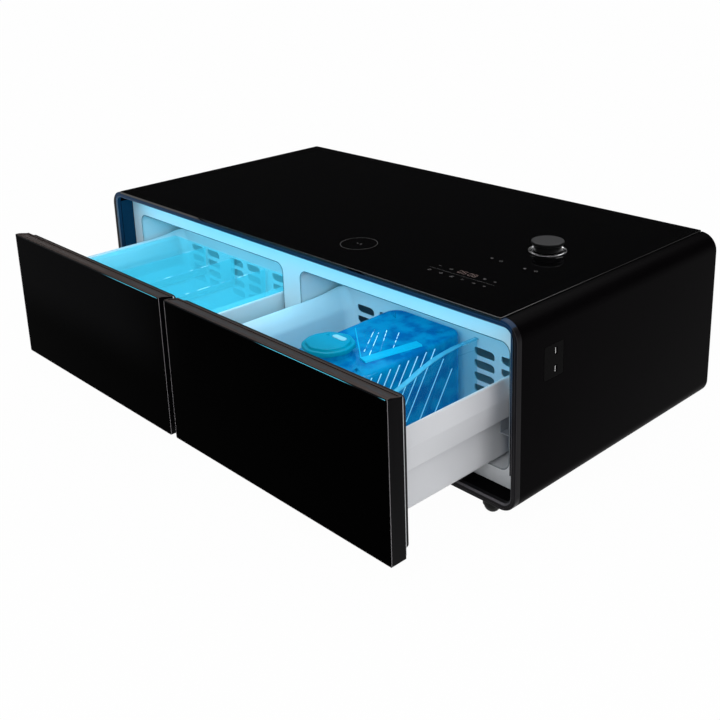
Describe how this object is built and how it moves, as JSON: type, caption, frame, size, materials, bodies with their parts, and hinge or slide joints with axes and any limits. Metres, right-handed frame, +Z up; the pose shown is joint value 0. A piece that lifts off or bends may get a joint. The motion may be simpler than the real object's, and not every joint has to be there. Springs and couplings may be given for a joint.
{
  "type": "refrigerator coffee table",
  "caption": "Low black cabinet on casters with a glass top, touch controls and two cooled drawers under a light bar.",
  "frame": {"origin": "on the floor, in the middle of the footprint with both drawers standing open as in the picture", "axes": "+Z up, the drawers open towards -Y, +X to the right when facing the drawer fronts"},
  "size_m": [1.3, 0.922, 0.4292],
  "materials": {
    "panel_black": "satin black lacquered board",
    "frame_black": "satin dark grey",
    "black_glass": "back-painted black, polished",
    "deck_board": "painted board",
    "liner_white": "white moulded plastic",
    "tub_white": "white moulded plastic",
    "panel_white": "white moulded plastic",
    "foam": "blown foam",
    "light_bar": "frosted light cover",
    "zinc_steel": "zinc plated",
    "black_steel": "black powder coat",
    "gasket_rubber": "soft dark seal",
    "clear_plastic": "clear acrylic",
    "blue_plastic": "translucent blue",
    "knob_metal": "anodised black",
    "ring_metal": "turned silver ring",
    "caster_wheel": "black tread",
    "black_plastic": "black moulded plastic",
    "socket_black": "gloss black",
    "circuit_board": "green board",
    "copper": "copper",
    "compressor_black": "gloss black",
    "evaporator_metal": "roll-bond sheet",
    "control_grey": "light grey",
    "drawer_core": "satin dark grey frame over a foam core"
  },
  "bodies": {
    "cabinet": {"left_side_cover": "panel_black", "right_side_cover": "panel_black", "base_panel": "panel_black", "front_frame": "frame_black", "glass_top": "black_glass", "top_deck": "deck_board", "usb_socket_plate": "socket_black", "charging_coil": "copper", "touch_panel": "circuit_board", "knob_ring": "ring_metal", "back_cover": "black_steel", "power_inlet": "black_plastic", "liner_face": "liner_white", "left_liner": "liner_white", "right_liner": "liner_white", "foam_insulation": "foam", "evaporator": "evaporator_metal", "led_light_bar": "light_bar", "compressor": "compressor_black", "condenser": "zinc_steel", "fan_shroud": "black_plastic", "refrigerant_pipe": "copper", "control_box": "control_grey", "left_drawer_rail_left": "zinc_steel", "left_drawer_rail_right": "zinc_steel", "right_drawer_rail_left": "zinc_steel", "right_drawer_rail_right": "zinc_steel", "caster_plate_front_left": "zinc_steel", "caster_plate_front_right": "zinc_steel", "caster_plate_back_left": "zinc_steel", "caster_plate_back_right": "zinc_steel"},
    "left_drawer": {"left_drawer_tray": "clear_plastic", "left_drawer_front_glass": "black_glass", "left_drawer_front_frame": "drawer_core", "left_drawer_inner_panel": "panel_white", "left_drawer_gasket": "gasket_rubber", "left_drawer_tub": "tub_white", "left_drawer_runner_left": "zinc_steel", "left_drawer_runner_right": "zinc_steel"},
    "right_drawer": {"right_drawer_divider": "clear_plastic", "water_jug": "blue_plastic", "right_drawer_front_glass": "black_glass", "right_drawer_front_frame": "drawer_core", "right_drawer_inner_panel": "panel_white", "right_drawer_gasket": "gasket_rubber", "right_drawer_tub": "tub_white", "right_drawer_runner_left": "zinc_steel", "right_drawer_runner_right": "zinc_steel"},
    "jug_lid": {"jug_lid": "blue_plastic"},
    "control_knob": {"control_knob": "knob_metal"},
    "fan_rotor": {"fan_rotor": "black_plastic"},
    "caster_fork_front_left": {"caster_fork_front_left": "black_steel"},
    "caster_wheel_front_left": {"caster_wheel_front_left": "caster_wheel"},
    "caster_fork_front_right": {"caster_fork_front_right": "black_steel"},
    "caster_wheel_front_right": {"caster_wheel_front_right": "caster_wheel"},
    "caster_fork_back_left": {"caster_fork_back_left": "black_steel"},
    "caster_wheel_back_left": {"caster_wheel_back_left": "caster_wheel"},
    "caster_fork_back_right": {"caster_fork_back_right": "black_steel"},
    "caster_wheel_back_right": {"caster_wheel_back_right": "caster_wheel"}
  },
  "joints": [
    {"name": "left_drawer_slide", "type": "slide", "parent": "cabinet", "child": "left_drawer", "axis": [0, -1, 0], "range_m": [-0.276, 0.02]},
    {"name": "right_drawer_slide", "type": "slide", "parent": "cabinet", "child": "right_drawer", "axis": [0, -1, 0], "range_m": [-0.2745, 0.0215]},
    {"name": "jug_lid_turn", "type": "hinge", "parent": "right_drawer", "child": "jug_lid", "pos_m": [0.2736, -0.2757, 0.2818], "axis": [0, 0, 1], "range_deg": [0, 120]},
    {"name": "knob_turn", "type": "hinge", "parent": "cabinet", "child": "control_knob", "pos_m": [0.46, 0.143, 0.4065], "axis": [0, 0, 1], "continuous": true},
    {"name": "fan_spin", "type": "hinge", "parent": "cabinet", "child": "fan_rotor", "pos_m": [0.302, 0.38415, 0.1183], "axis": [1, 0, 0], "continuous": true},
    {"name": "caster_swivel_front_left", "type": "hinge", "parent": "cabinet", "child": "caster_fork_front_left", "pos_m": [-0.565, -0.133, 0.036], "axis": [0, 0, 1], "continuous": true},
    {"name": "caster_roll_front_left", "type": "hinge", "parent": "caster_fork_front_left", "child": "caster_wheel_front_left", "pos_m": [-0.565, -0.145, 0.017], "axis": [1, 0, 0], "continuous": true},
    {"name": "caster_swivel_front_right", "type": "hinge", "parent": "cabinet", "child": "caster_fork_front_right", "pos_m": [0.565, -0.133, 0.036], "axis": [0, 0, 1], "continuous": true},
    {"name": "caster_roll_front_right", "type": "hinge", "parent": "caster_fork_front_right", "child": "caster_wheel_front_right", "pos_m": [0.565, -0.145, 0.017], "axis": [1, 0, 0], "continuous": true},
    {"name": "caster_swivel_back_left", "type": "hinge", "parent": "cabinet", "child": "caster_fork_back_left", "pos_m": [-0.565, 0.409, 0.036], "axis": [0, 0, 1], "continuous": true},
    {"name": "caster_roll_back_left", "type": "hinge", "parent": "caster_fork_back_left", "child": "caster_wheel_back_left", "pos_m": [-0.565, 0.397, 0.017], "axis": [1, 0, 0], "continuous": true},
    {"name": "caster_swivel_back_right", "type": "hinge", "parent": "cabinet", "child": "caster_fork_back_right", "pos_m": [0.565, 0.409, 0.036], "axis": [0, 0, 1], "continuous": true},
    {"name": "caster_roll_back_right", "type": "hinge", "parent": "caster_fork_back_right", "child": "caster_wheel_back_right", "pos_m": [0.565, 0.397, 0.017], "axis": [1, 0, 0], "continuous": true}
  ]
}
